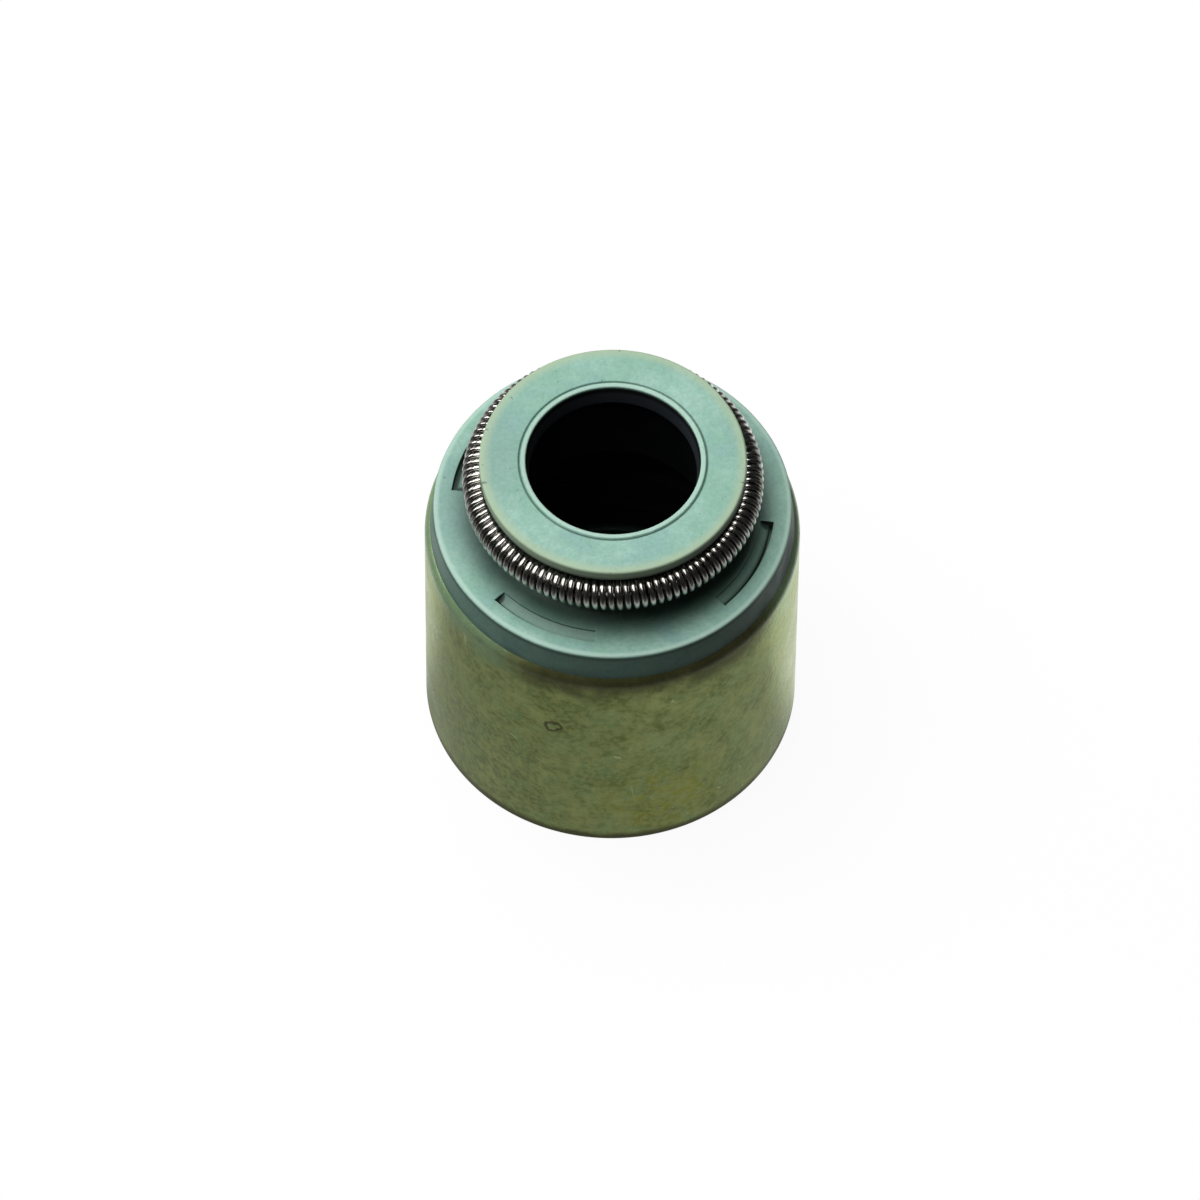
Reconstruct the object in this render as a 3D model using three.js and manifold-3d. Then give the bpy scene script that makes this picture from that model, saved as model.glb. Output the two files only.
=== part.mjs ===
// Valve stem seal: a drawn steel case, the rubber body moulded to it, and the garter spring round its head.
// Units are millimetres. The axis is +Z and the case's open rim stands on z = 0.
import * as THREE from 'three';
import { mergeVertices } from 'three/addons/utils/BufferGeometryUtils.js';
import Module from 'manifold-3d';

const wasm = await Module();
wasm.setup();

// Steel case: a cup drawn from sheet, open below, its top turned in as a flange
const caseOuterRadius = 7.5;
const caseWall = 0.5;
const caseHeight = 11.97;
const caseBendRadius = 0.62;
const caseRimRound = 0.12;
const flangeWidth = 1.8;

// Rubber over the case's top: a band round the side, and the shoulder
const bandRecess = 0.22;
const bandTaper = 0.13;
const shoulderCover = 1.25;
const shoulderRound = 0.1;
const shoulderFall = 0.03;

// Rubber head: a flange over the spring, with a low bead and a fine groove round the mouth
const headRise = 3.3;
const headRadius = 5.32;
const headThickness = 0.5;
const headRound = 0.1;
const mouthRadius = 3.49;
const mouthRound = 0.06;
const beadWidth = 0.12;
const beadHeight = 0.03;
const beadGrooveWidth = 0.13;
const beadGrooveDepth = 0.06;

// Sealing lip, and the chamber below it
const lipRadius = 3.33;
const lipDepth = 0.9;
const lipAirSideHeight = 1.1;
const chamberRadius = 4.1;

// Neck between the shoulder and the spring groove
const neckRadius = 4.85;
const neckFillet = 0.55;
const grooveLipSetback = 0.12;
const grooveLipHeight = 0.22;

// Rubber lining inside the case, with ribs that grip the valve guide
const liningThickness = 1.05;
const liningStart = 1.3;
const liningChamfer = 0.5;
const liningLeadIn = 0.9;
const guideStopThickness = 0.57;
const ribCount = 3;
const ribHeight = 0.2;
const ribLength = 0.9;
const ribPitch = 2.2;

// Arc slots in the shoulder: the floor slopes down outwards to a narrow channel along the outer wall
const slotCount = 4;
const slotInnerRadius = 5.93;
const slotWidth = 0.54;
const slotInnerDepth = 0.03;
const slotFloorDepth = 0.2;
const slotChannelWidth = 0.22;
const slotChannelDepth = 0.55;
const slotSpan = 40;
const slotFirstAngle = 64;

// Garter spring: close coils of one wire, joined end to end
const wireDiameter = 0.25;
const turnGap = 0.0175;
const coilRadius = 0.7;
const springStandOut = 0.69;
const springDrop = 1.47;
const grooveClearance = 0.02;
const grooveOpenAngle = 125;

// Faceting
const latheSegments = 64;
const arcSegments = 4;
const grooveSegments = 9;
const stepsPerTurn = 8;
const wireSides = 5;

// Sizes that follow from the ones above
const caseInnerRadius = caseOuterRadius - caseWall;
const flangeInnerRadius = caseInnerRadius - flangeWidth;
const flangeUnderside = caseHeight - caseWall;
const outerBend = new THREE.Vector2(caseOuterRadius - caseBendRadius, caseHeight - caseBendRadius);
const innerBendRadius = Math.max(caseBendRadius - caseWall, 0.05);
const innerBend = new THREE.Vector2(caseInnerRadius - innerBendRadius, flangeUnderside - innerBendRadius);
const bandRadius = caseOuterRadius - bandRecess;
const bandStartAngle = Math.acos((bandRadius - outerBend.x) / caseBendRadius);
const shoulderTop = caseHeight + shoulderCover;
const shoulderEdge = shoulderTop - shoulderFall;
const shoulderRadius = bandRadius - bandTaper;
const headTop = shoulderTop + headRise;
const headFace = headTop - beadHeight;
const headUnderside = headFace - headThickness;
const grooveLipRadius = headRadius - grooveLipSetback;
const springRingRadius = headRadius + springStandOut - coilRadius;
const springHeight = headTop - springDrop;
const wireRadius = wireDiameter / 2;
const coilCentreRadius = coilRadius - wireRadius;
const innerTurnLength = 2 * Math.PI * (springRingRadius - coilCentreRadius);
const springTurns = Math.floor(innerTurnLength / (wireDiameter + turnGap));
const groove = new THREE.Vector2(springRingRadius, springHeight);
const grooveRadius = coilRadius + grooveClearance;
const grooveUpperAngle = THREE.MathUtils.degToRad(grooveOpenAngle);
const grooveLowerAngle = 2 * Math.PI - Math.acos((grooveLipRadius - groove.x) / grooveRadius);
const grooveLipTop = groove.y + grooveRadius * Math.sin(grooveLowerAngle);
const grooveLipFoot = grooveLipTop - grooveLipHeight;
const guideStop = flangeUnderside - guideStopThickness;
const liningRadius = caseInnerRadius - liningThickness;
const lipHeight = headTop - lipDepth;
const slotOuterRadius = slotInnerRadius + slotWidth;

function point(radius, height) {
  return new THREE.Vector2(radius, height);
}

// Points along an arc, from one angle to another in radians, both ends included
function arc(centre, radius, from, to, segments = arcSegments) {
  return Array.from({ length: segments + 1 }, (_, i) => {
    const angle = from + ((to - from) * i) / segments;
    return point(centre.x + radius * Math.cos(angle), centre.y + radius * Math.sin(angle));
  });
}

// Turns a closed section about the Z axis. Its points run up the outside and down the inside.
function turned(section) {
  return new THREE.LatheGeometry([...section, section[0]], latheSegments).rotateX(Math.PI / 2);
}

function toManifold(geometry) {
  const bare = geometry.clone();
  bare.deleteAttribute('normal');
  bare.deleteAttribute('uv');
  const merged = mergeVertices(bare, 1e-5);
  return new wasm.Manifold(new wasm.Mesh({
    numProp: 3,
    vertProperties: new Float32Array(merged.attributes.position.array),
    triVerts: new Uint32Array(merged.index.array),
  }));
}

function toGeometry(solid) {
  const mesh = solid.getMesh();
  const geometry = new THREE.BufferGeometry();
  geometry.setAttribute('position', new THREE.BufferAttribute(mesh.vertProperties, mesh.numProp));
  geometry.setIndex(new THREE.BufferAttribute(mesh.triVerts, 1));
  geometry.computeVertexNormals();
  return geometry;
}

// Where steel and rubber are bonded: from the bare part of the bend, round the flange, down the inside wall
function bondedFace() {
  return [
    ...arc(outerBend, caseBendRadius, bandStartAngle, Math.PI / 2),
    point(flangeInnerRadius, caseHeight),
    point(flangeInnerRadius, flangeUnderside),
    ...arc(innerBend, innerBendRadius, Math.PI / 2, 0, 2),
    point(caseInnerRadius, liningStart),
  ];
}

function steelCaseGeometry() {
  const innerRim = point(caseInnerRadius + caseRimRound, caseRimRound);
  const outerRim = point(caseOuterRadius - caseRimRound, caseRimRound);
  return turned([
    ...arc(innerRim, caseRimRound, Math.PI, 1.5 * Math.PI, 2),
    ...arc(outerRim, caseRimRound, 1.5 * Math.PI, 2 * Math.PI, 2),
    ...arc(outerBend, caseBendRadius, 0, bandStartAngle),
    ...bondedFace().slice(1),
  ]);
}

// From the case's bend up the band, shoulder, neck, spring groove and head to the bead
function rubberOutside() {
  const shoulderCorner = point(shoulderRadius - shoulderRound, shoulderEdge - shoulderRound);
  const neckCorner = point(neckRadius + neckFillet, shoulderTop + neckFillet);
  const headCorner = point(headRadius - headRound, headFace - headRound);
  const beadOuterRadius = mouthRadius + mouthRound + beadWidth;
  return [
    ...arc(shoulderCorner, shoulderRound, 0, Math.PI / 2, 3),
    ...arc(neckCorner, neckFillet, 1.5 * Math.PI, Math.PI),
    point(neckRadius, grooveLipFoot - (grooveLipRadius - neckRadius)),
    point(grooveLipRadius, grooveLipFoot),
    ...arc(groove, grooveRadius, grooveLowerAngle, grooveUpperAngle, grooveSegments),
    point(headRadius, headUnderside),
    ...arc(headCorner, headRound, 0, Math.PI / 2, 2),
    point(beadOuterRadius + beadGrooveWidth, headFace),
    point(beadOuterRadius + beadGrooveWidth / 2, headFace - beadGrooveDepth),
    point(beadOuterRadius, headTop),
  ];
}

// From the mouth down past the lip, through the chamber, over the guide stop and along the ribbed lining
function rubberInside() {
  const mouthCorner = point(mouthRadius + mouthRound, headTop - mouthRound);
  const ribsMiddle = (liningStart + liningLeadIn + guideStop) / 2;
  const ribs = Array.from({ length: ribCount }, (_, i) => {
    const height = ribsMiddle + ((ribCount - 1) / 2 - i) * ribPitch;
    return [
      point(liningRadius, height + ribLength / 2),
      point(liningRadius - ribHeight, height),
      point(liningRadius, height - ribLength / 2),
    ];
  });
  return [
    ...arc(mouthCorner, mouthRound, Math.PI / 2, Math.PI, 2),
    point(lipRadius, lipHeight),
    point(chamberRadius, lipHeight - lipAirSideHeight),
    point(chamberRadius, guideStop),
    point(liningRadius, guideStop),
    ...ribs.flat(),
    point(liningRadius, liningStart + liningLeadIn),
    point(liningRadius + liningChamfer, liningStart),
  ];
}

// The ring that all the slots lie in, taller than the shoulder so that it cuts through its surface
function slotRingGeometry() {
  const ringTop = shoulderTop + slotChannelDepth;
  const channelRadius = slotOuterRadius - slotChannelWidth;
  return turned([
    point(slotInnerRadius, shoulderEdge - slotInnerDepth),
    point(channelRadius, shoulderEdge - slotFloorDepth),
    point(channelRadius, shoulderEdge - slotChannelDepth),
    point(slotOuterRadius, shoulderEdge - slotChannelDepth),
    point(slotOuterRadius, ringTop),
    point(slotInnerRadius, ringTop),
  ]);
}

// A wedge about the Z axis that keeps one slot's share of the ring
function slotWedgeGeometry(middleAngle) {
  const reach = 2 * slotOuterRadius;
  const corners = [-slotSpan / 2, slotSpan / 2].map((offset) => {
    const angle = THREE.MathUtils.degToRad(middleAngle + offset);
    return point(reach * Math.cos(angle), reach * Math.sin(angle));
  });
  const wedge = new THREE.Shape([point(0, 0), ...corners]);
  const depth = 4 * slotChannelDepth;
  const geometry = new THREE.ExtrudeGeometry(wedge, { depth, bevelEnabled: false });
  return geometry.translate(0, 0, shoulderTop - depth / 2);
}

function rubberSealGeometry() {
  const body = turned([...bondedFace().reverse(), ...rubberOutside(), ...rubberInside()]);
  const slotRing = toManifold(slotRingGeometry());
  let solid = toManifold(body);
  for (let i = 0; i < slotCount; i += 1) {
    const middleAngle = slotFirstAngle + (i * 360) / slotCount;
    const slot = slotRing.intersect(toManifold(slotWedgeGeometry(middleAngle)));
    solid = solid.subtract(slot);
  }
  return toGeometry(solid);
}

// The wire's centre line: right-handed coils round a ring, the last turn running into the first
class GarterWire extends THREE.Curve {
  getPoint(t, target = new THREE.Vector3()) {
    const ringAngle = 2 * Math.PI * t;
    const coilAngle = ringAngle * springTurns;
    const radius = springRingRadius + coilCentreRadius * Math.sin(coilAngle);
    const height = springHeight + coilCentreRadius * Math.cos(coilAngle);
    return target.set(radius * Math.cos(ringAngle), radius * Math.sin(ringAngle), height);
  }
}

function garterSpringGeometry() {
  const wire = new GarterWire();
  const steps = springTurns * stepsPerTurn;
  wire.arcLengthDivisions = 4 * steps;
  return new THREE.TubeGeometry(wire, steps, wireRadius, wireSides, true);
}

const passivatedSteel = new THREE.MeshStandardMaterial({ color: 0x7c8460, metalness: 0.8, roughness: 0.42 });
const mouldedRubber = new THREE.MeshStandardMaterial({ color: 0x84a898, metalness: 0, roughness: 0.55 });
const springSteel = new THREE.MeshStandardMaterial({ color: 0xa6a4a0, metalness: 1, roughness: 0.25 });

function namedMesh(name, geometry, material) {
  const mesh = new THREE.Mesh(geometry, material);
  mesh.name = name;
  return mesh;
}

const valveStemSeal = new THREE.Group();
valveStemSeal.add(
  namedMesh('steel_case', steelCaseGeometry(), passivatedSteel),
  namedMesh('rubber_seal', rubberSealGeometry(), mouldedRubber),
  namedMesh('garter_spring', garterSpringGeometry(), springSteel),
);

export default valveStemSeal;
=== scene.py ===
import math

import bmesh
import bpy
from mathutils import Matrix, Vector, noise


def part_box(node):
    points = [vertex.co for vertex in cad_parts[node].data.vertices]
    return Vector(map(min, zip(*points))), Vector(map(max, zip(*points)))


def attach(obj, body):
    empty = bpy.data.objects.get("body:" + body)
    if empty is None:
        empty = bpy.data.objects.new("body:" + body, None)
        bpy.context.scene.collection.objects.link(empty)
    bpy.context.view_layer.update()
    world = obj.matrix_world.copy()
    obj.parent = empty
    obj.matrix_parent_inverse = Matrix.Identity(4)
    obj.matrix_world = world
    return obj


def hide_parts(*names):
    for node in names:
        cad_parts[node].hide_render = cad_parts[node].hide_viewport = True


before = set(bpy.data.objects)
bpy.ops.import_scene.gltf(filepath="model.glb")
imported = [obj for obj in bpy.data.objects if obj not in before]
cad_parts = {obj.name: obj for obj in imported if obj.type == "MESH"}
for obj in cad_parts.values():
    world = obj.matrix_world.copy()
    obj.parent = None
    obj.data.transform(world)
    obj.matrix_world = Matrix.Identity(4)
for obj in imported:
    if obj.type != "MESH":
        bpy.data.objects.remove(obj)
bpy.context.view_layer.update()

# Valve stem seal: steel case, rubber body and garter spring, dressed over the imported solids.
# Sizes are millimetres and degrees, on the axis +Z with the rim on z = 0. Only the floor's size, the
# lamps and the camera's clipping are in metres.

mm = 0.001
weldGap = 0.0001             # doubles nearer than this are one
cornerFit = 0.999            # keeps two arcs that share an edge just apart
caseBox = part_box("steel_case")
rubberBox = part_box("rubber_seal")
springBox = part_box("garter_spring")


def inMm(metres):
    return metres / mm


# Meshes

def roundCorner(bm, corner, radius, segments):
    a, b = [edge.other_vert(corner).co - corner.co for edge in corner.link_edges]
    slide = radius / math.tan(a.angle(b) / 2)      # how far along each edge the arc starts
    bmesh.ops.bevel(bm, geom=[corner], offset=slide * cornerFit, offset_type="OFFSET", segments=segments,
                    profile=0.5, affect="VERTICES", material=-1)


def turnedMesh(section, steps, cornerSegments=6):
    # section: (radius, height, rounding) all round, up the outside and down the inside
    bm = bmesh.new()
    corners = [bm.verts.new((radius * mm, 0, height * mm)) for radius, height, rounding in section]
    for first, second in zip(corners, corners[1:] + corners[:1]):
        bm.edges.new((first, second))
    for corner, (radius, height, rounding) in zip(corners, section):
        if rounding:
            roundCorner(bm, corner, rounding * mm, cornerSegments)
    bmesh.ops.spin(bm, geom=bm.verts[:] + bm.edges[:], cent=(0, 0, 0), axis=(0, 0, 1), dvec=(0, 0, 0),
                   angle=2 * math.pi, steps=steps, use_merge=True)
    bmesh.ops.remove_doubles(bm, verts=bm.verts, dist=weldGap * mm)
    bmesh.ops.recalc_face_normals(bm, faces=bm.faces)
    return bm


def finishPiece(name, bm, material, node, sharpAngle=35):
    mesh = bpy.data.meshes.new(name)
    bm.to_mesh(mesh)
    bm.free()
    mesh.polygons.foreach_set("use_smooth", [True] * len(mesh.polygons))
    mesh.set_sharp_from_angle(angle=math.radians(sharpAngle))
    mesh.materials.append(material)
    piece = bpy.data.objects.new(name, mesh)
    bpy.context.scene.collection.objects.link(piece)
    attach(piece, "root")
    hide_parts(node)
    print(name, "faces", len(mesh.polygons))


def ringAngle(co):
    return math.degrees(math.atan2(co.y, co.x)) % 360


def angleBetween(a, b):
    return (a - b + 180) % 360 - 180


# Shader nodes

def fillSockets(tree, made, sockets):
    for key, value in sockets.items():
        if isinstance(value, bpy.types.NodeSocket):
            tree.links.new(value, made.inputs[key])
        else:
            made.inputs[key].default_value = value


def addNode(tree, kind, sockets=None, **settings):
    made = tree.nodes.new("ShaderNode" + kind)
    for name, value in settings.items():
        setattr(made, name, value)
    fillSockets(tree, made, sockets or {})
    return made


def calc(tree, operation, a, b=0.0, c=0.0):
    return addNode(tree, "Math", {0: a, 1: b, 2: c}, operation=operation).outputs[0]


def ramp(tree, value, low, high, start=0.0, end=1.0):
    sockets = {"Value": value, "From Min": low, "From Max": high, "To Min": start, "To Max": end}
    return addNode(tree, "MapRange", sockets, interpolation_type="SMOOTHSTEP").outputs[0]


def rise(tree, value, base, limits, share=1.0):
    # a mask from 0 to share between two limits, which are counted from base
    return ramp(tree, value, base + limits[0], base + limits[1], 0.0, share)


def fall(tree, value, base, limits, share=1.0):
    return ramp(tree, value, base + limits[0], base + limits[1], share, 0.0)


def overlap(tree, first, *others):
    product = first
    for mask in others:
        product = calc(tree, "MULTIPLY", product, mask)
    return product


def mixColour(tree, mask, a, b):
    return addNode(tree, "Mix", {0: mask, 6: a, 7: b}, data_type="RGBA").outputs[2]


def plainNoise(tree, vector, scale, detail):
    return addNode(tree, "TexNoise", {"Vector": vector, "Scale": scale, "Detail": detail})


def addBump(tree, shader, height, strength, depth):
    bump = addNode(tree, "Bump", {"Height": height, "Strength": strength, "Distance": depth * mm})
    tree.links.new(bump.outputs[0], shader.inputs["Normal"])


def rgb(red, green, blue):
    return (red, green, blue, 1.0)


def newGroup(name, inputs, outputs):
    tree = bpy.data.node_groups.new(name, "ShaderNodeTree")
    for label, value in inputs.items():
        kind = "NodeSocketVector" if value is None else "NodeSocketFloat"
        socket = tree.interface.new_socket(label, in_out="INPUT", socket_type=kind)
        if value is not None:
            socket.default_value = value
    for label, kind in outputs.items():
        tree.interface.new_socket(label, in_out="OUTPUT", socket_type=kind)
    return tree, tree.nodes.new("NodeGroupInput"), tree.nodes.new("NodeGroupOutput")


def useGroup(tree, group, sockets=None):
    return addNode(tree, "Group", sockets, node_tree=group)


def makePlaceGroup():
    # where a point lies on the seal: in millimetres, from the axis, and above the rim
    tree, _, end = newGroup("placeOnSeal", {}, {
        "Place": "NodeSocketVector", "Radius": "NodeSocketFloat", "Height": "NodeSocketFloat"})
    coords = addNode(tree, "TexCoord")
    place = addNode(tree, "VectorMath", {0: coords.outputs["Object"], 3: 1 / mm}, operation="SCALE")
    flat = addNode(tree, "VectorMath", {0: place.outputs[0], 1: (1, 1, 0)}, operation="MULTIPLY")
    radius = addNode(tree, "VectorMath", {0: flat.outputs[0]}, operation="LENGTH")
    parts = addNode(tree, "SeparateXYZ", {0: place.outputs[0]})
    tree.links.new(place.outputs[0], end.inputs["Place"])
    tree.links.new(radius.outputs["Value"], end.inputs["Radius"])
    tree.links.new(parts.outputs["Z"], end.inputs["Height"])
    return tree


def makeMottleGroup():
    # soft patches: noise pushed towards 0 or 1 between two levels
    tree, start, end = newGroup("mottle", {
        "Vector": None, "Scale": 1.0, "Detail": 4.0, "Low": 0.4, "High": 0.6}, {"Mask": "NodeSocketFloat"})
    grain = addNode(tree, "TexNoise", {
        "Vector": start.outputs["Vector"], "Scale": start.outputs["Scale"],
        "Detail": start.outputs["Detail"], "Roughness": 0.6})
    mask = ramp(tree, grain.outputs["Fac"], start.outputs["Low"], start.outputs["High"])
    tree.links.new(mask, end.inputs["Mask"])
    return tree


def makeScratchGroup():
    # thin lines: noise drawn out along one axis, of which only the crests are kept
    tree, start, end = newGroup("scratches", {
        "Vector": None, "Scale": 1.0, "Stretch": 0.1, "Turn": 0.0, "Level": 0.7}, {"Mask": "NodeSocketFloat"})
    turned = addNode(tree, "VectorRotate", {
        "Vector": start.outputs["Vector"], "Axis": (0.3, 0.9, 0.1), "Angle": start.outputs["Turn"]})
    drawn = addNode(tree, "CombineXYZ", {0: 1.0, 1: 1.0, 2: start.outputs["Stretch"]})
    long = addNode(tree, "VectorMath", {0: turned.outputs[0], 1: drawn.outputs[0]}, operation="MULTIPLY")
    grain = addNode(tree, "TexNoise", {
        "Vector": long.outputs[0], "Scale": start.outputs["Scale"], "Detail": 2.0, "Roughness": 0.5})
    crest = 0.06             # how far above the level a line is at its full strength
    top = calc(tree, "ADD", start.outputs["Level"], crest)
    mask = ramp(tree, grain.outputs["Fac"], start.outputs["Level"], top)
    tree.links.new(mask, end.inputs["Mask"])
    return tree


placeGroup = makePlaceGroup()
mottleGroup = makeMottleGroup()
scratchGroup = makeScratchGroup()


def newMaterial(name):
    material = bpy.data.materials.new(name)
    material.use_nodes = True
    tree = material.node_tree
    return material, tree, tree.nodes["Principled BSDF"]


def mottle(tree, vector, scale, low, high, detail):
    return useGroup(tree, mottleGroup, {
        "Vector": vector, "Scale": scale, "Detail": detail, "Low": low, "High": high}).outputs["Mask"]


def scratches(tree, vector, scale, stretch, turn, level):
    return useGroup(tree, scratchGroup, {
        "Vector": vector, "Scale": scale, "Stretch": stretch, "Turn": turn, "Level": level}).outputs["Mask"]


def spot(tree, place, centre, size, soft):
    # 1 inside a ball round a point of the surface, fading over soft
    gap = addNode(tree, "VectorMath", {0: place, 1: centre}, operation="DISTANCE").outputs["Value"]
    return ramp(tree, gap, size, size + soft, 1.0, 0.0)


def onCase(angle, height, radius=inMm(caseBox[1][0])):
    # a point at an angle round the axis, on the case unless a radius is given
    turn = math.radians(angle)
    return (radius * math.cos(turn), radius * math.sin(turn), height)


print("groups made")

# Steel case

caseLook = {
    "light": rgb(0.330, 0.375, 0.145),
    "dark": rgb(0.135, 0.170, 0.050),
    "green": rgb(0.200, 0.310, 0.130),
    "darkBrown": rgb(0.055, 0.052, 0.020),
    "film": rgb(0.200, 0.330, 0.190),
    "scratch": rgb(0.62, 0.68, 0.42),
    "edgeTint": rgb(0.95, 1.0, 0.84),
    "patches": (0.6, 0.38, 0.64, 6.0),        # scale, low, high and detail of each mottle
    "clouds": (1.7, 0.38, 0.62, 5.0),
    "tints": (0.9, 0.45, 0.62, 5.0),
    "grain": (4.2, 0.40, 0.60, 5.0),
    "drawn": (2.2, 0.06, 0.0, 0.55),          # scale, stretch, turn and level of each set of lines
    "nicks": (3.5, 0.05, 0.9, 0.72),
    "scores": (3.0, 0.04, 0.12, 0.74),
    "cloudShare": 0.45,
    "tintShare": 0.6,
    "grainShare": 0.5,
    "drawnShare": 0.12,
    "scratchShare": 0.5,
    "zones": (
        {"colour": rgb(0.300, 0.300, 0.030), "centre": onCase(287, 2.7), "size": 0.9, "soft": 2.6},
        {"colour": rgb(0.120, 0.155, 0.090), "centre": onCase(227, 3.2), "size": 1.2, "soft": 3.0},
    ),
    "zoneShare": 0.7,
    "waver": (0.9, 4.0),                      # scale and detail
    "stainSpot": onCase(283, 11.0),
    "stainSize": 4.2,
    "stainSoft": 3.0,
    "stainFoot": 9.9,
    "stainTop": 11.5,
    "stainWaver": 2.4,
    "stainShare": 0.85,
    "filmShare": 0.75,
    "ringSpot": onCase(252, 7.95),
    "ringSize": 0.34,
    "ringHollow": 0.18,
    "ringSoft": 0.14,
    "ringBend": 0.5,
    "ringNoise": (2.2, 2.0),
    "ringShare": 0.9,
    "rimFoot": 0.45,
    "rimTop": 0.85,
    "rimWaver": 0.4,
    "rimShare": 0.95,
    "rough": 0.20,
    "roughSpread": 0.10,
    "bleedFoot": 11.2,
    "bleedTop": 11.65,
    "bleedMetal": 0.15,
    "grainRelief": 0.6,
    "drawnRelief": 0.1,
    "bumpStrength": 0.3,
    "bumpDepth": 0.02,
}


def makeCaseMaterial(look):
    material, tree, shader = newMaterial("passivatedSteel")
    where = useGroup(tree, placeGroup)
    place, height = where.outputs["Place"], where.outputs["Height"]
    patches, clouds, tints, grain = [mottle(tree, place, *look[name]) for name in (
        "patches", "clouds", "tints", "grain")]
    drawn, nicks, scores = [scratches(tree, place, *look[name]) for name in ("drawn", "nicks", "scores")]
    waver = plainNoise(tree, place, *look["waver"]).outputs["Fac"]
    colour = mixColour(tree, patches, look["dark"], look["light"])
    colour = mixColour(tree, overlap(tree, tints, look["tintShare"]), colour, look["green"])
    colour = mixColour(tree, overlap(tree, clouds, look["cloudShare"]), colour, look["dark"])
    for zone in look["zones"]:
        near = spot(tree, place, zone["centre"], zone["size"], zone["soft"])
        colour = mixColour(tree, overlap(tree, near, look["zoneShare"], clouds), colour, zone["colour"])
    colour = mixColour(tree, overlap(tree, grain, look["grainShare"]), colour, look["light"])
    colour = mixColour(tree, overlap(tree, drawn, look["drawnShare"]), colour, look["dark"])
    # the rubber's bleed stains the steel below the band, most of all in front
    level = calc(tree, "MULTIPLY_ADD", waver, look["stainWaver"], -look["stainWaver"] / 2)
    darkBrown = ramp(tree, calc(tree, "ADD", height, level), look["stainFoot"], look["stainTop"])
    near = spot(tree, place, look["stainSpot"], look["stainSize"], look["stainSoft"])
    film = calc(tree, "MULTIPLY", darkBrown, calc(tree, "SUBTRACT", look["filmShare"], near))
    colour = mixColour(tree, film, colour, look["film"])
    colour = mixColour(tree, overlap(tree, darkBrown, near, look["stainShare"]), colour, look["darkBrown"])
    # an old drop has dried to a ring
    wander = plainNoise(tree, place, *look["ringNoise"]).outputs["Color"]
    wander = addNode(tree, "VectorMath", {0: wander, 1: (0.5, 0.5, 0.5)}, operation="SUBTRACT").outputs[0]
    wander = addNode(tree, "VectorMath", {0: wander, 3: look["ringBend"]}, operation="SCALE").outputs[0]
    bent = addNode(tree, "VectorMath", {0: place, 1: wander}, operation="ADD").outputs[0]
    ring = spot(tree, bent, look["ringSpot"], look["ringSize"], look["ringSoft"])
    hollow = spot(tree, bent, look["ringSpot"], look["ringHollow"], look["ringSoft"])
    ring = calc(tree, "SUBTRACT", ring, hollow)
    colour = mixColour(tree, overlap(tree, ring, look["ringShare"]), colour, look["darkBrown"])
    # the foot is painted dark along the rim: a painted contact shadow
    level = calc(tree, "MULTIPLY_ADD", waver, look["rimWaver"], height)
    rim = ramp(tree, level, look["rimFoot"], look["rimTop"], look["rimShare"], 0.0)
    colour = mixColour(tree, rim, colour, look["darkBrown"])
    bright = calc(tree, "MAXIMUM", nicks, scores)
    colour = mixColour(tree, overlap(tree, bright, look["scratchShare"]), colour, look["scratch"])
    rough = calc(tree, "MULTIPLY_ADD", patches, look["roughSpread"], look["rough"])
    # on the bend the bleed is thick enough to hide the metal
    metal = ramp(tree, height, look["bleedFoot"], look["bleedTop"], 1.0, look["bleedMetal"])
    tree.links.new(colour, shader.inputs["Base Color"])
    tree.links.new(rough, shader.inputs["Roughness"])
    tree.links.new(metal, shader.inputs["Metallic"])
    shader.inputs["Specular Tint"].default_value = look["edgeTint"]
    relief = calc(tree, "ADD", overlap(tree, grain, look["grainRelief"]),
                  overlap(tree, drawn, look["drawnRelief"]))
    addBump(tree, shader, relief, look["bumpStrength"], look["bumpDepth"])
    return material


caseSize = {
    "outerRadius": inMm(caseBox[1][0]),
    "height": inMm(caseBox[1][2]),
    "wall": 0.5,
    "bend": 0.62,
    "innerBend": 0.12,
    "flangeInnerRadius": 5.2,
    "rimRound": 0.12,
    "cornerPieces": 10,
    "steps": 360,
}


def makeCase(size, material):
    outer, top, wall = size["outerRadius"], size["height"], size["wall"]
    bm = turnedMesh([
        (outer - wall, 0, size["rimRound"]),
        (outer, 0, size["rimRound"]),
        (outer, top, size["bend"]),
        (size["flangeInnerRadius"], top, 0),
        (size["flangeInnerRadius"], top - wall, 0),
        (outer - wall, top - wall, size["innerBend"]),
    ], size["steps"], size["cornerPieces"])
    finishPiece("caseShell", bm, material, "steel_case")


makeCase(caseSize, makeCaseMaterial(caseLook))

# Rubber body

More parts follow.
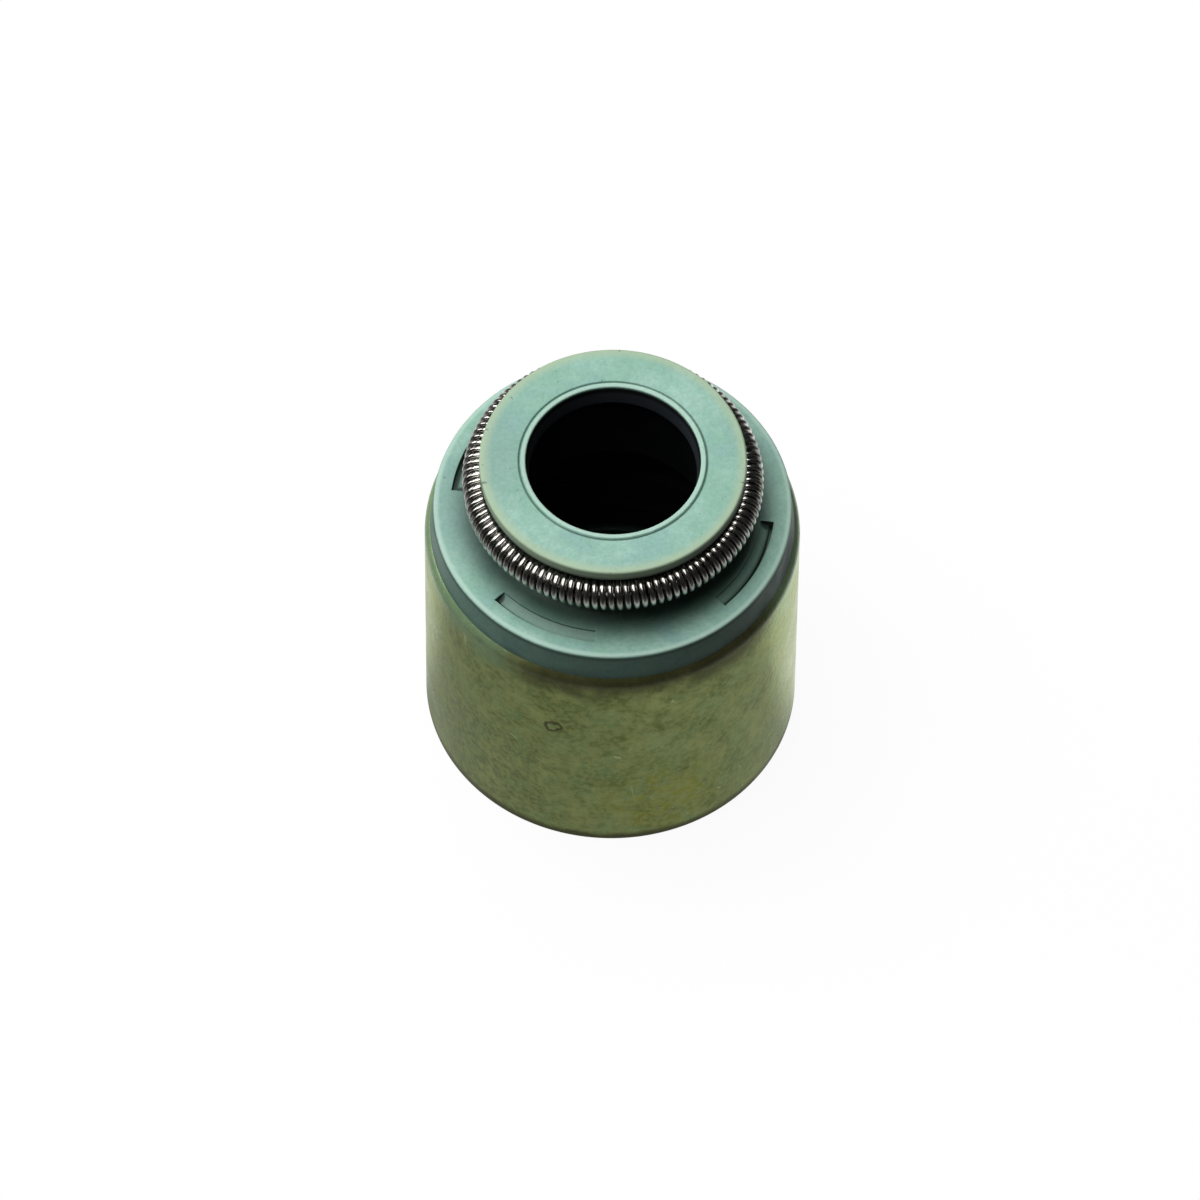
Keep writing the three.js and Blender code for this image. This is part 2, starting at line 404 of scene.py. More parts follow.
rubberLook = {
    "base": rgb(0.255, 0.475, 0.375),
    "pale": rgb(0.345, 0.565, 0.480),
    "blue": rgb(0.240, 0.430, 0.405),
    "blotch": rgb(0.21, 0.44, 0.33),
    "dull": rgb(0.180, 0.310, 0.290),
    # the next two colours are painted highlights: on the shoulder's edge, the bead and the head's outer edge
    "paintedHighlight": rgb(0.47, 0.66, 0.56),
    "yellow": rgb(0.390, 0.500, 0.330),
    "speck": rgb(0.05, 0.09, 0.06),
    # the next three colours paint shade: in the bore, and in hollows, creases and under the head
    "lip": rgb(0.022, 0.027, 0.033),
    "inside": rgb(0.004, 0.005, 0.006),
    "paintedShade": rgb(0.012, 0.030, 0.020),
    "broad": (0.45, 0.38, 0.62, 5.0),         # scale, low, high and detail of each mottle
    "cool": (0.7, 0.48, 0.66, 3.0),
    "fine": (7.0, 0.3, 0.7, 3.0),
    "blotches": (2.2, 0.36, 0.66, 5.0),
    "specks": (5.0, 1.0, 0.0, 0.715),         # scale, stretch, turn and level
    "waver": (1.1, 3.0),                      # scale and detail
    "coolShare": 0.6,
    "blotchShare": 0.45,
    "fineShare": 0.16,
    "dullSpot": onCase(180, 14.6, 5.6),
    "dullSize": 1.2,
    "dullSoft": 3.0,
    "dullShare": 0.55,
    "edgeLightWidth": (-0.55, -0.05),              # limits are counted from the edge that each mask follows
    "edgeLightDepth": (-0.9, -0.5),
    "edgeLightShare": 0.8,
    "cutTurns": 14.0,
    "cutNoise": (1.6, 1.0),
    "cutLevel": (0.70, 0.76),
    "speckShare": 0.6,
    "highlightWidth": (-0.28, -0.12),
    "highlightDepth": (-0.07, -0.02),
    "beadWidth": (0.14, 0.2),
    "beadDepth": (-0.06, -0.03),
    "highlightShare": 0.6,
    "slotMouth": (-0.07, -0.04),
    "slotFloor": (-0.35, -0.25),
    "slotHighlightEdge": (0.0, 0.04),
    "floorHighlightShare": 0.2,
    "slotStart": (-0.03, 0.0),
    "slotEnd": (0.02, 0.06),
    "slotShadeInset": (0.2, 0.16),
    "slotShade": 0.48,
    "slotShadeSpread": 0.34,
    "slotCorners": (223.0, 354.5, 174.0),     # where the most shade is painted
    "cornerInset": 0.25,
    "cornerDepth": 0.2,
    "cornerSize": 0.26,
    "cornerSoft": 0.12,
    "cornerShare": 0.85,
    "lineTop": (-0.12, -0.06),
    "lineFoot": (-0.36, -0.16),
    "lineSide": (-0.05, 0.0),
    "lineShare": 0.55,
    "seamHeight": (-0.25, 0.3),
    "seamStart": (-0.48, -0.44),
    "seamWaver": 0.9,
    "seamShare": 0.4,
    "bandTop": (-0.16, -0.1),
    "bandSide": (-0.02, 0.01),
    "bandShare": 0.5,
    "neckReach": 0.45,
    "neckFoot": (-0.6, -0.5),
    "neckTop": (0.9, 1.1),
    "neckShares": (0.85, 0.03),
    "underTop": (-0.55, -0.3),
    "underFoot": (-2.6, -2.4),
    "underShare": 0.8,
    "ditchTop": (-0.03, -0.005),
    "ditchFoot": (-0.12, -0.11),
    "ditchWidth": (0.34, 0.38),
    "ditchShare": 0.55,
    "boreEdge": (0.01, 0.05),
    "boreTop": (-0.14, -0.07),
    "lipTop": (-0.42, -0.26),
    "chamberEdge": (-0.6, -0.5),
    "chamberTop": (-0.05, 0.0),
    "liningEdge": (-0.9, -0.8),
    "liningTop": (0.1, 0.2),
    "liningFoot": (0.5, 1.5),
    "rough": 0.46,
    "roughSpread": 0.16,
    "gloss": 0.4,
    "fineRelief": 0.5,
    "speckRelief": -0.8,
    "bumpStrength": 0.3,
    "bumpDepth": 0.02,
}


def rubberColour(tree, look, size, place, radius, height, turn, mottles):
    colour = mixColour(tree, mottles["broad"], look["base"], look["pale"])
    colour = mixColour(tree, overlap(tree, mottles["cool"], look["coolShare"]), colour, look["blue"])
    colour = mixColour(tree, overlap(tree, mottles["blotches"], look["blotchShare"]), colour, look["blotch"])
    dull = spot(tree, place, look["dullSpot"], look["dullSize"], look["dullSoft"])
    colour = mixColour(tree, overlap(tree, dull, look["dullShare"]), colour, look["dull"])
    colour = mixColour(tree, overlap(tree, mottles["fine"], look["fineShare"]), colour, look["speck"])
    # the head's outer edge is painted paler and yellower: a painted highlight where its rounded edge catches
    # the light
    rim = overlap(tree, rise(tree, radius, size["headRadius"], look["edgeLightWidth"]),
                  rise(tree, height, size["top"], look["edgeLightDepth"]))
    colour = mixColour(tree, overlap(tree, rim, look["edgeLightShare"]), colour, look["yellow"])
    # small cuts run in from that edge
    spokes = addNode(tree, "CombineXYZ", {0: calc(tree, "MULTIPLY", turn, look["cutTurns"]), 1: radius})
    cuts = plainNoise(tree, spokes.outputs[0], *look["cutNoise"]).outputs["Fac"]
    cuts = overlap(tree, ramp(tree, cuts, *look["cutLevel"]), rim)
    dark = overlap(tree, calc(tree, "MAXIMUM", mottles["specks"], cuts), look["speckShare"])
    return mixColour(tree, dark, colour, look["speck"])


def paintSlotShade(tree, look, size, shoulder, place, radius, height, turn):
    # painted shade in the slots: every second slot is painted darker towards its outer wall, and a few
    # corners most of all
    inSlot = overlap(tree, fall(tree, height, shoulder, look["slotMouth"]),
                     fall(tree, radius, size["slotOuter"], look["slotEnd"]),
                     rise(tree, radius, size["slotInner"], look["slotStart"]))
    pairs = size["slotCount"] / 2
    slotTurn = calc(tree, "MULTIPLY_ADD", turn, pairs, -math.radians(pairs * size["slotFirst"]))
    swing = calc(tree, "COSINE", slotTurn)
    share = calc(tree, "MULTIPLY_ADD", swing, -look["slotShadeSpread"], look["slotShade"])
    inner, outer = look["slotShadeInset"]
    outward = ramp(tree, radius, size["slotInner"] + inner, size["slotOuter"] - outer)
    paintedShade = overlap(tree, inSlot, outward, share)
    for angle in look["slotCorners"]:
        centre = onCase(angle, shoulder - look["cornerDepth"], size["slotOuter"] - look["cornerInset"])
        corner = spot(tree, place, centre, look["cornerSize"], look["cornerSoft"])
        corner = overlap(tree, corner, calc(tree, "MULTIPLY", inSlot, look["cornerShare"]))
        paintedShade = calc(tree, "MAXIMUM", paintedShade, corner)
    return paintedShade


def paintRubberShade(tree, look, size, case, shoulder, place, radius, height):
    # painted shade along the steel, on the band's upper edge and over its face, by the neck, under the head
    # and in the groove round the bead
    shoulderRadius = size["bandRadius"] - size["bandTaper"]
    bead = size["top"] - size["beadHeight"]
    waver = plainNoise(tree, place, *look["waver"]).outputs["Fac"]
    level = calc(tree, "MULTIPLY_ADD", waver, look["seamWaver"], -look["seamWaver"] / 2)
    line = overlap(tree, fall(tree, height, shoulder, look["lineTop"]),
                   rise(tree, height, shoulder, look["lineFoot"]),
                   rise(tree, radius, shoulderRadius, look["lineSide"]), look["lineShare"])
    seam = overlap(tree, fall(tree, calc(tree, "ADD", height, level), case["height"], look["seamHeight"],
                              look["seamShare"]),
                   rise(tree, radius, case["outerRadius"], look["seamStart"]))
    band = overlap(tree, fall(tree, height, shoulder, look["bandTop"], look["bandShare"]),
                   rise(tree, radius, shoulderRadius, look["bandSide"]))
    reach = size["slotOuter"] + look["neckReach"]
    neck = ramp(tree, radius, size["grooveLipRadius"], reach, *look["neckShares"])
    neck = overlap(tree, neck, overlap(tree, rise(tree, height, shoulder, look["neckFoot"]),
                                       fall(tree, height, shoulder, look["neckTop"])))
    under = overlap(tree, fall(tree, height, size["top"], look["underTop"], look["underShare"]),
                    rise(tree, height, size["top"], look["underFoot"]))
    ditch = overlap(tree, fall(tree, height, bead, look["ditchTop"], look["ditchShare"]),
                    fall(tree, radius, size["mouthRadius"], look["ditchWidth"]),
                    rise(tree, height, size["top"], look["ditchFoot"]))
    return [line, seam, band, neck, under, ditch]


def makeRubberMaterial(look, size, case):
    material, tree, shader = newMaterial("mouldedRubber")
    where = useGroup(tree, placeGroup)
    place, radius, height = [where.outputs[name] for name in ("Place", "Radius", "Height")]
    parts = addNode(tree, "SeparateXYZ", {0: place})
    turn = calc(tree, "ARCTAN2", parts.outputs["Y"], parts.outputs["X"])
    shoulder = case["height"] + size["shoulderAboveCase"] - size["shoulderFall"]
    shoulderRadius = size["bandRadius"] - size["bandTaper"]
    mottles = {name: mottle(tree, place, *look[name]) for name in ("broad", "cool", "fine", "blotches")}
    mottles["specks"] = scratches(tree, place, *look["specks"])
    colour = rubberColour(tree, look, size, place, radius, height, turn, mottles)
    # the shoulder's edge and the bead round the mouth are painted pale: a painted highlight where they catch
    # the light
    paintedHighlight = overlap(tree, rise(tree, radius, shoulderRadius, look["highlightWidth"]),
                   rise(tree, height, shoulder, look["highlightDepth"]))
    bead = overlap(tree, fall(tree, radius, size["mouthRadius"], look["beadWidth"]),
                   rise(tree, height, size["top"], look["beadDepth"]))
    paintedHighlight = overlap(tree, calc(tree, "MAXIMUM", paintedHighlight, bead), look["highlightShare"])
    colour = mixColour(tree, paintedHighlight, colour, look["paintedHighlight"])
    # the slots' sloping floors are painted paler: a painted highlight on the ramps
    floorHighlight = overlap(tree, fall(tree, height, shoulder, look["slotMouth"], look["floorHighlightShare"]),
                    rise(tree, height, shoulder, look["slotFloor"]),
                    fall(tree, radius, size["slotOuter"], look["slotHighlightEdge"]))
    colour = mixColour(tree, floorHighlight, colour, look["paintedHighlight"])
    # the painted shade of the slots and of the rest of the body, all in one dark colour
    slots = paintSlotShade(tree, look, size, shoulder, place, radius, height, turn)
    for mask in [slots, *paintRubberShade(tree, look, size, case, shoulder, place, radius, height)]:
        colour = mixColour(tree, mask, colour, look["paintedShade"])
    # the bore is painted black, a painted shade, and a little greyer low on the lip
    bore = fall(tree, radius, size["mouthRadius"], look["boreEdge"])
    sunk = overlap(tree, bore, fall(tree, height, size["top"], look["boreTop"]))
    colour = mixColour(tree, sunk, colour, look["inside"])
    lip = overlap(tree, bore, fall(tree, height, size["top"], look["lipTop"]))
    colour = mixColour(tree, lip, colour, look["lip"])
    # the chamber above the guide stop is painted black too: painted shade
    chamber = overlap(tree, fall(tree, radius, size["neckRadius"], look["chamberEdge"]),
                      fall(tree, height, size["top"] - size["lipDepth"], look["chamberTop"]))
    colour = mixColour(tree, chamber, colour, look["inside"])
    # the lining is painted as black, down to a little above its foot: painted shade
    lining = overlap(tree, fall(tree, radius, case["outerRadius"], look["liningEdge"]),
                     fall(tree, height, size["guideStop"], look["liningTop"]),
                     rise(tree, height, size["foot"], look["liningFoot"]))
    colour = mixColour(tree, lining, colour, look["inside"])
    rough = calc(tree, "MULTIPLY_ADD", mottles["broad"], look["roughSpread"], look["rough"])
    tree.links.new(colour, shader.inputs["Base Color"])
    tree.links.new(rough, shader.inputs["Roughness"])
    shader.inputs["Specular IOR Level"].default_value = look["gloss"]
    relief = calc(tree, "ADD", overlap(tree, mottles["fine"], look["fineRelief"]),
                  overlap(tree, mottles["specks"], look["speckRelief"]))
    addBump(tree, shader, relief, look["bumpStrength"], look["bumpDepth"])
    return material


rubberSize = {
    "bandRadius": inMm(rubberBox[1][0]),
    "top": inMm(rubberBox[1][2]),
    "foot": inMm(rubberBox[0][2]),
    "bandTaper": 0.13,
    "shoulderAboveCase": 1.25,
    "shoulderFall": 0.03,
    "shoulderRound": 0.1,
    "headRadius": 5.32,
    "headThickness": 0.5,
    "headRound": 0.1,
    "mouthRadius": 3.49,
    "mouthRound": 0.06,
    "beadWidth": 0.12,
    "beadHeight": 0.03,
    "beadGrooveWidth": 0.13,
    "beadGrooveDepth": 0.06,
    "lipRadius": 3.33,
    "lipDepth": 0.9,
    "lipAirSide": 1.1,
    "chamberRadius": 4.1,
    "neckRadius": 4.85,
    "neckFillet": 0.55,
    "grooveLipRadius": 5.2,
    "grooveLipHeight": 0.22,
    "grooveOpenAngle": 125,
    "grooveClearance": 0.02,
    "liningThickness": 1.05,
    "liningChamfer": 0.5,
    "liningLeadIn": 0.9,
    "guideStop": 10.9,
    "ribCount": 3,
    "ribHeight": 0.2,
    "ribLength": 0.9,
    "ribPitch": 2.2,
    "ribRound": 0.15,
    "slotCount": 4,
    "slotInner": 5.93,
    "slotOuter": 6.47,
    "slotInnerDepth": 0.10,
    "slotFloorDepth": 0.30,
    "slotChannelWidth": 0.18,
    "slotChannelDepth": 0.55,
    "slotSpan": 40,
    "slotFirst": 64,
    "slotEdge": 0.03,
    "slotSearch": 0.05,          # how near the shoulder's height a slot's faces lie
    "bendPieces": 6,
    "sharpRound": 0.03,
    "edgeRound": 0.05,
    "stopRound": 0.08,
    "softRound": 0.1,
    "liningRound": 0.15,
    "leadInRound": 0.2,
    "chamberRound": 0.3,
    "waver": 0.006,
    "waverPitch": 900,           # per metre
    "sway": 0.008,
    "swayPitch": 260,
    "swayShift": 0.8,
    "trueMouth": 0.5,            # this far out from the mouth nothing wavers
    "trueBand": 0.06,            # nor the band's face, below trueBandTop
    "trueBandTop": 12.2,
    "steps": 360,
}

coilRadius = 0.7

springSize = {
    "ringRadius": inMm(springBox[1][0]) - coilRadius,
    "height": inMm(springBox[0][2] + springBox[1][2]) / 2,
    "coilRadius": coilRadius,
    "wire": 0.25,
    "turns": 111,
    "stepsPerTurn": 24,
    "wireSides": 12,
    "joinAngle": 188.5,
    "joinSpread": 5.0,
    "joinShift": 0.32,
    "joinDip": 0.03,
    "joinReach": 4,              # in spreads
    "weldGap": 0.0002,
    "sharpAngle": 60,
}


def grooveArc(size, spring, pieces=18):
    radius = spring["coilRadius"] + size["grooveClearance"]
    start = 2 * math.pi - math.acos((size["grooveLipRadius"] - spring["ringRadius"]) / radius)
    end = math.radians(size["grooveOpenAngle"])
    angles = [start + (end - start) * i / pieces for i in range(pieces + 1)]
    return [(spring["ringRadius"] + radius * math.cos(angle), spring["height"] + radius * math.sin(angle), 0)
            for angle in angles]


def liningRibs(size, radius):
    middle = (size["foot"] + size["liningLeadIn"] + size["guideStop"]) / 2
    ribs = []
    for i in range(size["ribCount"]):
        height = middle + ((size["ribCount"] - 1) / 2 - i) * size["ribPitch"]
        ribs += [
            (radius, height + size["ribLength"] / 2, size["softRound"]),
            (radius - size["ribHeight"], height, size["ribRound"]),
            (radius, height - size["ribLength"] / 2, size["softRound"]),
        ]
    return ribs


def rubberSection(size, case, spring):
    inner = case["outerRadius"] - case["wall"]
    shoulder = case["height"] + size["shoulderAboveCase"]
    edge = shoulder - size["shoulderFall"]
    bendCentre = (case["outerRadius"] - case["bend"], case["height"] - case["bend"])
    bandTurn = math.acos((size["bandRadius"] - bendCentre[0]) / case["bend"])
    pieces = size["bendPieces"]
    turns = [math.pi / 2 + (bandTurn - math.pi / 2) * i / pieces for i in range(pieces + 1)]
    bend = [(bendCentre[0] + case["bend"] * math.cos(turn), bendCentre[1] + case["bend"] * math.sin(turn), 0)
            for turn in turns]
    groove = grooveArc(size, spring)
    lipFoot = groove[0][1] - size["grooveLipHeight"]
    face = size["top"] - size["beadHeight"]
    bead = size["mouthRadius"] + size["mouthRound"] + size["beadWidth"]
    lining = inner - size["liningThickness"]
    channel = size["slotOuter"] - size["slotChannelWidth"]
    return [
        (lining + size["liningChamfer"], size["foot"], size["softRound"]),
        (inner, size["foot"], 0),
        (inner, case["height"] - case["wall"], 0),
        (case["flangeInnerRadius"], case["height"] - case["wall"], 0),
        (case["flangeInnerRadius"], case["height"], 0),
        *bend,
        (size["bandRadius"] - size["bandTaper"], edge, size["shoulderRound"]),
        (size["slotOuter"], edge, 0),
        (channel + size["slotEdge"], edge, 0),
        (channel, edge, 0),
        (size["slotInner"], edge, 0),
        (size["neckRadius"], shoulder, size["neckFillet"]),
        (size["neckRadius"], lipFoot - (size["grooveLipRadius"] - size["neckRadius"]), size["softRound"]),
        (size["grooveLipRadius"], lipFoot, size["edgeRound"]),
        *groove,
        (size["headRadius"], face - size["headThickness"], size["edgeRound"]),
        (size["headRadius"], face, size["headRound"]),
        (bead + size["beadGrooveWidth"], face, size["sharpRound"]),
        (bead + size["beadGrooveWidth"] / 2, face - size["beadGrooveDepth"], 0),
        (bead, size["top"], size["sharpRound"]),
        (size["mouthRadius"], size["top"], size["mouthRound"]),
        (size["lipRadius"], size["top"] - size["lipDepth"], size["sharpRound"]),
        (size["chamberRadius"], size["top"] - size["lipDepth"] - size["lipAirSide"], size["chamberRound"]),
        (size["chamberRadius"], size["guideStop"], size["stopRound"]),
        (lining, size["guideStop"], size["liningRound"]),
        *liningRibs(size, lining),
        (lining, size["foot"] + size["liningLeadIn"], size["leadInRound"]),
    ]


def cutSlots(bm, size, shoulderEdge):
    # each slot's patch of the shoulder is extruded down: a sloping floor, then the channel
    middle = (size["slotInner"] + size["slotOuter"]) / 2
    half = size["slotSpan"] / 2
    turns = [size["slotFirst"] + i * 360 / size["slotCount"] for i in range(size["slotCount"])]
    patch = []
    for face in bm.faces:
        co = face.calc_center_median()
        near = abs(co.xy.length - middle * mm) < (size["slotOuter"] - middle) * mm
        if near and abs(co.z - shoulderEdge * mm) < size["slotSearch"] * mm:
            if any(abs(angleBetween(ringAngle(co), turn)) < half for turn in turns):
                patch.append(face)
    sunk = bmesh.ops.extrude_face_region(bm, geom=patch)
    floor = [item for item in sunk["geom"] if isinstance(item, bmesh.types.BMVert)]
    bmesh.ops.delete(bm, geom=[face for face in patch if face.is_valid], context="FACES_ONLY")
    channel = size["slotOuter"] - size["slotChannelWidth"]
    for vert in floor:
        out = inMm(vert.co.xy.length)
        share = (out - size["slotInner"]) / (channel - size["slotInner"])
        depth = size["slotInnerDepth"] + share * (size["slotFloorDepth"] - size["slotInnerDepth"])
        if out > channel + size["slotEdge"] / 2:
            depth = size["slotChannelDepth"]
        vert.co.z -= depth * mm
    low = set(floor)
    rims = [edge for edge in bm.edges if edge.is_manifold and not low & set(edge.verts)
            and any(low & set(face.verts) for face in edge.link_faces)]
    bmesh.ops.bevel(bm, geom=rims, offset=size["slotEdge"] * mm, offset_type="OFFSET", segments=2,
                    profile=0.5, affect="EDGES", material=-1)


def roughenRubber(bm, size):
    # moulded edges are never quite true: the head's rim and the shoulder waver a little
    for vert in bm.verts:
        out = vert.co.xy.length
        if inMm(out) < size["mouthRadius"] + size["trueMouth"] or inMm(vert.co.z) < size["guideStop"]:
            continue
        if inMm(out) > size["bandRadius"] - size["trueBand"] and inMm(vert.co.z) < size["trueBandTop"]:
            continue
        waver = noise.noise(Vector((vert.co.x, vert.co.y, vert.co.z)) * size["waverPitch"])
        sway = noise.noise(Vector((vert.co.x, vert.co.y, 0.0)) * size["swayPitch"])
        shift = (size["waver"] * waver + size["sway"] * (sway - size["swayShift"])) * mm
        vert.co.x *= 1 + shift / out
        vert.co.y *= 1 + shift / out


def makeRubber(size, case, spring, material):
    bm = turnedMesh(rubberSection(size, case, spring), size["steps"])
    cutSlots(bm, size, case["height"] + size["shoulderAboveCase"] - size["shoulderFall"])
    roughenRubber(bm, size)
    bmesh.ops.recalc_face_normals(bm, faces=bm.faces)
    finishPiece("rubberBody", bm, material, "rubber_seal")


rubberFinish = makeRubberMaterial(rubberLook, rubberSize, caseSize)
makeRubber(rubberSize, caseSize, springSize, rubberFinish)

# Garter spring

springLook = {
    "bright": rgb(0.70, 0.69, 0.65),
    "dull": rgb(0.36, 0.35, 0.32),
    "patches": (2.5, 0.35, 0.65, 3.0),        # scale, low, high and detail of each mottle
    "grain": (22.0, 0.3, 0.7, 2.0),
    "rough": 0.16,
    "roughSpread": 0.06,
    "bumpStrength": 0.15,
    "bumpDepth": 0.004,
}


def makeSpringMaterial(look):
    material, tree, shader = newMaterial("springWire")
    place = useGroup(tree, placeGroup).outputs["Place"]
    patches = mottle(tree, place, *look["patches"])
    grain = mottle(tree, place, *look["grain"])
    colour = mixColour(tree, patches, look["dull"], look["bright"])
    rough = calc(tree, "MULTIPLY_ADD", grain, look["roughSpread"], look["rough"])
    tree.links.new(colour, shader.inputs["Base Color"])
    tree.links.new(rough, shader.inputs["Roughness"])
    shader.inputs["Metallic"].default_value = 1.0
    addBump(tree, shader, grain, look["bumpStrength"], look["bumpDepth"])
    return material


def wireFrame(size, coilTurn):
    # where the wire is at one turn of its coil, with the section's axes
    centreRadius = (size["coilRadius"] - size["wire"] / 2) * mm
    ringTurn = coilTurn / size["turns"]
    outward = Vector((math.cos(ringTurn), math.sin(ringTurn), 0))
    along = Vector((-math.sin(ringTurn), math.cos(ringTurn), 0))
    up = Vector((0, 0, 1))
    away = outward * math.sin(coilTurn) + up * math.cos(coilTurn)
    middle = outward * size["ringRadius"] * mm + up * size["height"] * mm
    centre = middle + away * centreRadius
    reach = size["ringRadius"] * mm + centreRadius * math.sin(coilTurn)
    swing = outward * math.cos(coilTurn) - up * math.sin(coilTurn)
    heading = (swing * centreRadius + along * reach / size["turns"]).normalized()
    side = heading.cross(away).normalized()
    turned = Matrix((side, away, side.cross(away))).transposed().to_4x4()
    return Matrix.Translation(centre) @ turned


def shiftJoin(bm, size):
    # where the ends screw together, the coils sit in pairs and dip inwards
    for vert in bm.verts:
        off = angleBetween(ringAngle(vert.co), size["joinAngle"])
        if abs(off) > size["joinReach"] * size["joinSpread"]:
            continue
        share = math.exp(-(off / size["joinSpread"]) ** 2)
        pairing = math.sin(math.pi * off / (360 / size["turns"]))
        turn = math.radians(size["joinShift"] * pairing * share)
        vert.co.rotate(Matrix.Rotation(turn, 3, "Z"))
        inward = 1 - size["joinDip"] * share * mm / vert.co.xy.length
        vert.co.x *= inward
        vert.co.y *= inward


def makeSpring(size, material):
    bm = bmesh.new()
    steps = size["stepsPerTurn"]
    places = [wireFrame(size, 2 * math.pi * i / steps) for i in range(steps + 1)]
    ring = bmesh.ops.create_circle(bm, segments=size["wireSides"], radius=size["wire"] / 2 * mm,
                                   cap_ends=False, matrix=places[0])
    edges = list({edge for vert in ring["verts"] for edge in vert.link_edges})
    for before, after in zip(places, places[1:]):
        made = bmesh.ops.extrude_edge_only(bm, edges=edges)["geom"]
        edges = [item for item in made if isinstance(item, bmesh.types.BMEdge)]
        verts = [item for item in made if isinstance(item, bmesh.types.BMVert)]
        edges = [edge for edge in edges if all(vert in verts for vert in edge.verts)]
        bmesh.ops.transform(bm, matrix=after @ before.inverted(), verts=verts)
    whole = 2 * math.pi * (size["turns"] - 1) / size["turns"]
    bmesh.ops.spin(bm, geom=bm.verts[:] + bm.edges[:] + bm.faces[:], cent=(0, 0, 0), axis=(0, 0, 1),
                   dvec=(0, 0, 0), angle=whole, steps=size["turns"] - 1, use_duplicate=True)
    bmesh.ops.remove_doubles(bm, verts=bm.verts, dist=size["weldGap"] * mm)
    shiftJoin(bm, size)
    bmesh.ops.recalc_face_normals(bm, faces=bm.faces)
    finishPiece("springCoil", bm, material, "garter_spring", size["sharpAngle"])


makeSpring(springSize, makeSpringMaterial(springLook))

# Floor, light and camera

stageLook = {
    "floorSize": 2.4,
    "floorGap": 0.01,            # under the rim
    "floorColour": rgb(0.06, 0.06, 0.06),
    "floorRough": 0.9,
    "floorGlow": 0.94,
    "sheetEdge": (15, 46),       # how far the white floor reaches, as the metal sees it
    "sheetEnd": 0.04,
    "frontGlow": 0.45,           # its front part is dimmer
    "glowTurn": 0.10,
    "glowEdge": (-2.0, 1.6),
    "sideGlow": 0.01,            # it grows brighter to the right, as far as sideReach
    "sideReach": 9,
    "caseShade": (7.2, 7.4),
    "topLampSize": (0.50, 0.34),
    "topLampPlace": (-0.10, 0.05, 0.36),
    "topLampWatts": 1.95,
    "sideLampSize": (0.2, 0.2),
    "sideLampPlace": (-0.34, 0.14, 0.16),
    "sideLampWatts": 0.4,
    "lampAim": (0, 0, 0.01),
    "skyDiffuse": 0.03,
    "skyGlossy": 0.02,
}


def makeFloor(look):
    bm = bmesh.new()
    bmesh.ops.create_grid(bm, x_segments=1, y_segments=1, size=look["floorSize"] / 2)
    bmesh.ops.translate(bm, verts=bm.verts, vec=(0, 0, -look["floorGap"] * mm))
    mesh = bpy.data.meshes.new("floor")
    bm.to_mesh(mesh)
    bm.free()
    material, tree, shader = newMaterial("paleFloor")
    shader.inputs["Base Color"].default_value = look["floorColour"]
    shader.inputs["Roughness"].default_value = look["floorRough"]
    shader.inputs["Specular IOR Level"].default_value = 0.0
    where = useGroup(tree, placeGroup)
    place, radius = where.outputs["Place"], where.outputs["Radius"]
    path = addNode(tree, "LightPath")
    mirrored = calc(tree, "MAXIMUM", path.outputs["Is Glossy Ray"], path.outputs["Is Transmission Ray"])
    sheet = ramp(tree, radius, *look["sheetEdge"], 1.0, look["sheetEnd"])
    parts = addNode(tree, "SeparateXYZ", {0: place})
    back = calc(tree, "MULTIPLY_ADD", parts.outputs["X"], look["glowTurn"], parts.outputs["Y"])
    back = ramp(tree, back, *look["glowEdge"], look["frontGlow"], 1.0)
    sheet = calc(tree, "MULTIPLY", sheet, back)
    most = look["sideReach"] * look["sideGlow"]
    aside = calc(tree, "MULTIPLY_ADD", parts.outputs["X"], look["sideGlow"], 1.0)
    aside = calc(tree, "MINIMUM", calc(tree, "MAXIMUM", aside, 1 - most), 1 + most)
    sheet = calc(tree, "MULTIPLY", sheet, aside)
    seen = calc(tree, "MAXIMUM", path.outputs["Is Camera Ray"], calc(tree, "MULTIPLY", mirrored, sheet))
    # the floor doesn't glow under the case
    seen = calc(tree, "MULTIPLY", seen, ramp(tree, radius, *look["caseShade"]))
    shader.inputs["Emission Color"].default_value = rgb(1, 1, 1)
    tree.links.new(calc(tree, "MULTIPLY", seen, look["floorGlow"]), shader.inputs["Emission Strength"])
    mesh.materials.append(material)
    floor = bpy.data.objects.new("floor", mesh)
    bpy.context.scene.collection.objects.link(floor)


def makeSky(look):
    world = bpy.data.worlds.new("studioSky")
    bpy.context.scene.world = world
    world.use_nodes = True
    tree = world.node_tree
    path = addNode(tree, "LightPath")
    strength = calc(tree, "MULTIPLY_ADD", path.outputs["Is Glossy Ray"],
                    look["skyGlossy"] - look["skyDiffuse"], look["skyDiffuse"])
    strength = calc(tree, "MAXIMUM", strength, path.outputs["Is Camera Ray"])
    tree.links.new(strength, tree.nodes["Background"].inputs["Strength"])
    tree.nodes["Background"].inputs["Color"].default_value = rgb(1, 1, 1)


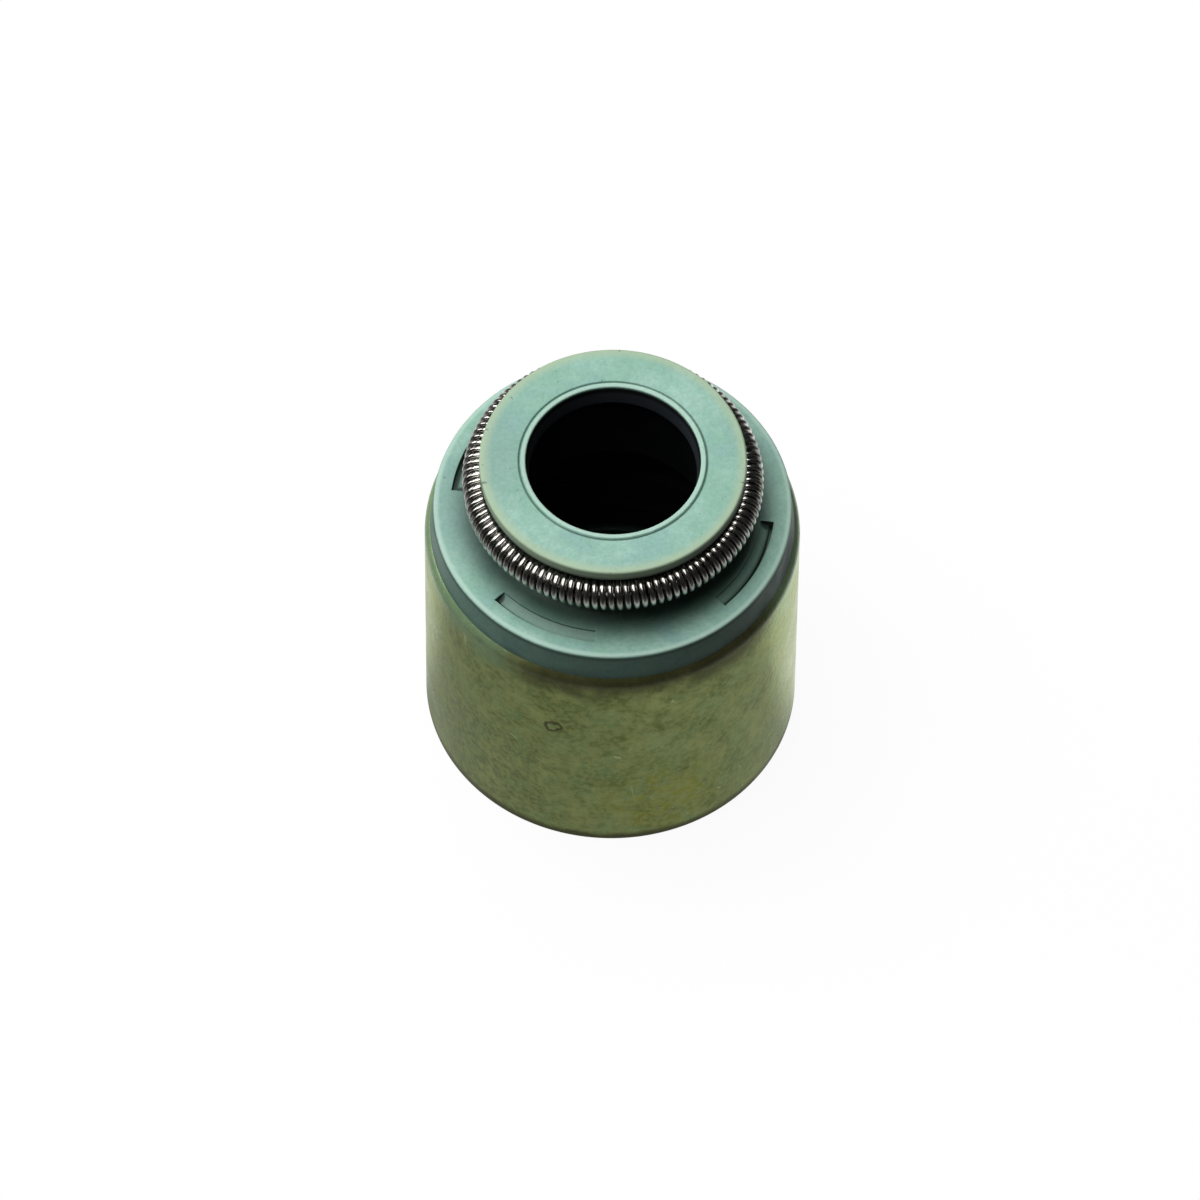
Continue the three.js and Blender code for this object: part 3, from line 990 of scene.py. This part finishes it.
def makeLamp(name, place, aim, size, watts):
    data = bpy.data.lights.new(name, "AREA")
    data.shape = "RECTANGLE"
    data.size, data.size_y = size
    data.energy = watts
    lamp = bpy.data.objects.new(name, data)
    turned = (Vector(aim) - Vector(place)).to_track_quat("-Z", "Y").to_matrix().to_4x4()
    lamp.matrix_world = Matrix.Translation(place) @ turned
    bpy.context.scene.collection.objects.link(lamp)


cameraPlace = {
    "distance": 500,
    "elevation": 57.42,
    "roll": 0.60,
    "aimHeight": 8.0,
    "pixelsPerMm": 24.887,       # at the aim point, in a frame of 1200 pixels
    "framePixels": 1200,
    "aimPixel": (611.8, 576.2),
    "sensor": 36.0,
    "clipStart": 0.01,
    "clipEnd": 10,
}


def makeCamera(place):
    slope = math.radians(place["elevation"])
    back = Vector((0, -math.cos(slope), math.sin(slope)))
    up = Vector((0, math.sin(slope), math.cos(slope)))
    right = Vector((1, 0, 0))
    middle = place["framePixels"] / 2
    tilt = math.radians(place["roll"])
    offRight = (middle - place["aimPixel"][0]) / place["pixelsPerMm"] * mm
    offUp = (place["aimPixel"][1] - middle) / place["pixelsPerMm"] * mm
    turned = Matrix((right, up, back)).transposed().to_4x4() @ Matrix.Rotation(tilt, 4, "Z")
    aim = Vector((0, 0, place["aimHeight"] * mm)) + turned.to_3x3() @ Vector((offRight, offUp, 0))
    data = bpy.data.cameras.new("camera")
    data.sensor_width = place["sensor"]
    data.lens = place["pixelsPerMm"] * place["distance"] / place["framePixels"] * place["sensor"]
    data.clip_start = place["clipStart"]
    data.clip_end = place["clipEnd"]
    camera = bpy.data.objects.new("camera", data)
    camera.matrix_world = Matrix.Translation(aim + back * place["distance"] * mm) @ turned
    bpy.context.scene.collection.objects.link(camera)
    bpy.context.scene.camera = camera


makeFloor(stageLook)
makeSky(stageLook)
for name in ("topLamp", "sideLamp"):
    place, size, watts = [stageLook[name + ending] for ending in ("Place", "Size", "Watts")]
    makeLamp(name, place, stageLook["lampAim"], size, watts)
makeCamera(cameraPlace)
bpy.context.scene.view_settings.view_transform = "Standard"
print("stage made")
